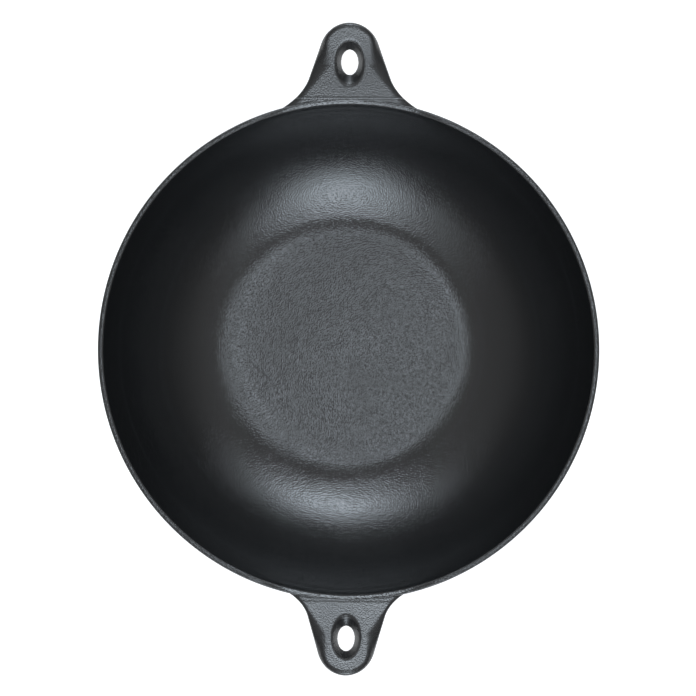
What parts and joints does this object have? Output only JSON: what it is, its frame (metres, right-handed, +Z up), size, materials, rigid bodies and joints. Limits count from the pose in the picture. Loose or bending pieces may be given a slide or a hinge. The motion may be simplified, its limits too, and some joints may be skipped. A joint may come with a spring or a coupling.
{
  "type": "wok",
  "caption": "Round cast iron wok with a flat cooking floor, curved wall, low foot ring and upswept lug handles with oval hanging holes.",
  "frame": {"origin": "on the bowl's axis, in the plane that the foot ring stands on", "axes": "+Z up along the bowl's axis, +Y along the lugs towards the far lug, +X to the right"},
  "size_m": [0.3598, 0.4644, 0.1138],
  "materials": {
    "cast_iron": "satin black, fine pebbled casting grain"
  },
  "bodies": {
    "root": {"cooking_floor": "cast_iron", "floor_bend": "cast_iron", "lower_wall": "cast_iron", "upper_wall": "cast_iron", "rim_band": "cast_iron", "foot_ring": "cast_iron", "far_lug": "cast_iron", "near_lug": "cast_iron"}
  },
  "joints": []
}
